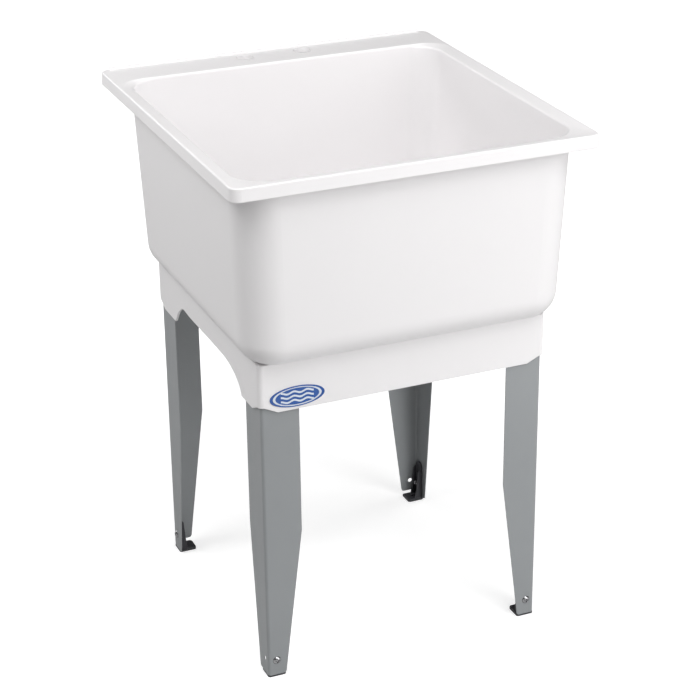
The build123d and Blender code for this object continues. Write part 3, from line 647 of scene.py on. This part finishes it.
    def light(self, box: SoftBox) -> bpy.types.Object:
        """Adds one soft box.

        Args:
            box: its place, size and power.

        Returns:
            The lamp object.
        """
        data = bpy.data.lights.new(box.name, "AREA")
        data.shape = "SQUARE"
        data.size = box.size
        data.energy = box.power
        lamp = bpy.data.objects.new(box.name, data)
        aim = Vector(self.lamp_aim)
        lamp.location = box.place(aim)
        lamp.rotation_mode = "QUATERNION"
        lamp.rotation_quaternion = (aim - lamp.location).to_track_quat("-Z", "Y")
        bpy.context.scene.collection.objects.link(lamp)
        return lamp

    def build(self) -> None:
        """Sets up the whole studio."""
        self.world()
        self.floor()
        for box in self.lamps:
            self.light(box)
        self.camera()


class Palette:
    """The finish of each material slot, made once when a piece first asks for it."""

    def __init__(self, groups: GroupLibrary) -> None:
        """Sets the finish of every slot but the badge's, which the badge adds.

        Args:
            groups: the shared node groups.
        """
        self.groups = groups
        self.materials: Dict[Slot, bpy.types.Material] = {}
        self.finishes: Dict[Slot, Finish] = {
            Slot.TUB: Finish("tub_white", (0.865, 0.85, 0.855), 0.42, mottle_amount=0.015,
                             coat=0.12, coat_roughness=0.25, skin_scale=500.0, skin_strength=0.03),
            # lighter leg edges: partly worn paint, partly painted highlight
            Slot.LEG: Finish("leg_grey", (0.292, 0.306, 0.315), 0.38, mottle_amount=0.10,
                             coat=0.25, coat_roughness=0.2, wear_and_light_colour=(0.50, 0.52, 0.53)),
            # lighter foot edges: painted highlight on the black plastic
            Slot.FOOT: Finish("foot_black", (0.040, 0.040, 0.046), 0.42, mottle_amount=0.12,
                              wear_and_light_colour=(0.13, 0.13, 0.14)),
            # dark bolt edges: painted shade round the head's rim and in its recess
            Slot.ZINC: Finish("bolt_zinc", (0.46, 0.46, 0.47), 0.26, metallic=1.0, mottle_scale=60.0,
                              mottle_amount=0.25, wear_and_light_colour=(0.05, 0.05, 0.055), wear_and_light_gain=4.0),
            Slot.DRAIN: Finish("drain_white", (0.80, 0.80, 0.79), 0.40, mottle_amount=0.03),
            Slot.STRAINER: Finish("strainer_bright", (0.62, 0.62, 0.63), 0.25, metallic=1.0,
                                  mottle_amount=0.15),
            Slot.GASKET: Finish("gasket_black", (0.02, 0.02, 0.02), 0.65, mottle_amount=0.15),
            Slot.STOPPER: Finish("stopper_pale", (0.66, 0.66, 0.64), 0.55, mottle_amount=0.05),
        }

    def material(self, slot: Slot) -> bpy.types.Material:
        """The slot's material.

        Args:
            slot: the material slot.

        Returns:
            The material, the same one each time.
        """
        if slot not in self.materials:
            self.materials[slot] = self.finishes[slot].build(self.groups)
        return self.materials[slot]


@dataclass(frozen=True)
class SubAssembly:
    """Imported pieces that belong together.

    Attributes:
        pieces: the names of the pieces.
    """

    pieces: Tuple[str, ...]

    def dress(self, frame: dict, palette: Palette) -> None:
        """Gives each piece the material of its slot.

        Args:
            frame: the loaded model.
            palette: the finishes.
        """
        slots = {entry["node"]: Slot(entry["material_slot"]) for entry in frame["record"]["subparts"]}
        for piece in self.pieces:
            materials = frame["nodes"][piece].data.materials
            materials.clear()
            materials.append(palette.material(slots[piece]))
            LOG.info("dressed %s", piece)


@dataclass(frozen=True)
class Tub(SubAssembly):
    """The moulded tub."""

    pieces: Tuple[str, ...] = ("tub",)


class Leg(SubAssembly):
    """One leg with its levelling foot, bolt and nut."""

    PARTS = ("leg", "foot", "foot_bolt", "foot_nut")

    def __init__(self, corner: Corner) -> None:
        """Names the pieces of the leg at one corner."""
        super().__init__(tuple(corner.value + "_" + part for part in self.PARTS))


@dataclass(frozen=True)
class Drain(SubAssembly):
    """The drain with its gaskets, nuts and tailpiece."""

    pieces: Tuple[str, ...] = (
        "drain_body", "strainer_grid", "flange_gasket", "lower_gasket", "friction_washer",
        "drain_locknut", "tailpiece_washer", "tailpiece", "coupling_nut",
    )


@dataclass(frozen=True)
class Plug(SubAssembly):
    """The stopper and its pull ring."""

    pieces: Tuple[str, ...] = ("stopper", "stopper_ring")


@dataclass(frozen=True)
class Badge(SubAssembly):
    """The oval plate on the skirt.

    Attributes:
        blue: colour of its field.
        roughness: roughness of its face.
        coat: weight of its clear outer layer.
        mottle_amount: strength of the soft colour variation.
    """

    pieces: Tuple[str, ...] = ("oval_badge",)
    blue: Colour = (0.015, 0.09, 0.36)
    roughness: float = 0.25
    coat: float = 0.6
    mottle_amount: float = 0.02

    def face(self) -> BadgeFace:
        """The finish of the plate, fitted to its size.

        Returns:
            The finish.
        """
        low, high = (Vector(corner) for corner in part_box("oval_badge"))
        size = high - low
        return BadgeFace("badge_blue", self.blue, self.roughness, coat=self.coat,
                         mottle_amount=self.mottle_amount, centre=tuple((low + high) / 2),
                         half_width=size.x / 2, half_height=size.z / 2)

    def dress(self, frame: dict, palette: Palette) -> None:
        """Adds the plate's own finish to the palette and gives it to the plate.

        Args:
            frame: the loaded model.
            palette: the finishes.
        """
        palette.finishes[Slot.BADGE] = self.face()
        super().dress(frame, palette)


def main() -> None:
    """Builds the whole scene."""
    logging.basicConfig(level=logging.INFO)
    bpy.ops.wm.read_factory_settings(use_empty=True)
    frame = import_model()
    palette = Palette(GroupLibrary())
    legs = [Leg(corner) for corner in Corner]
    for assembly in (Tub(), *legs, Drain(), Plug(), Badge()):
        assembly.dress(frame, palette)
    Studio().build()
    bpy.context.scene.view_settings.view_transform = "Standard"


if __name__ == "__main__":
    main()
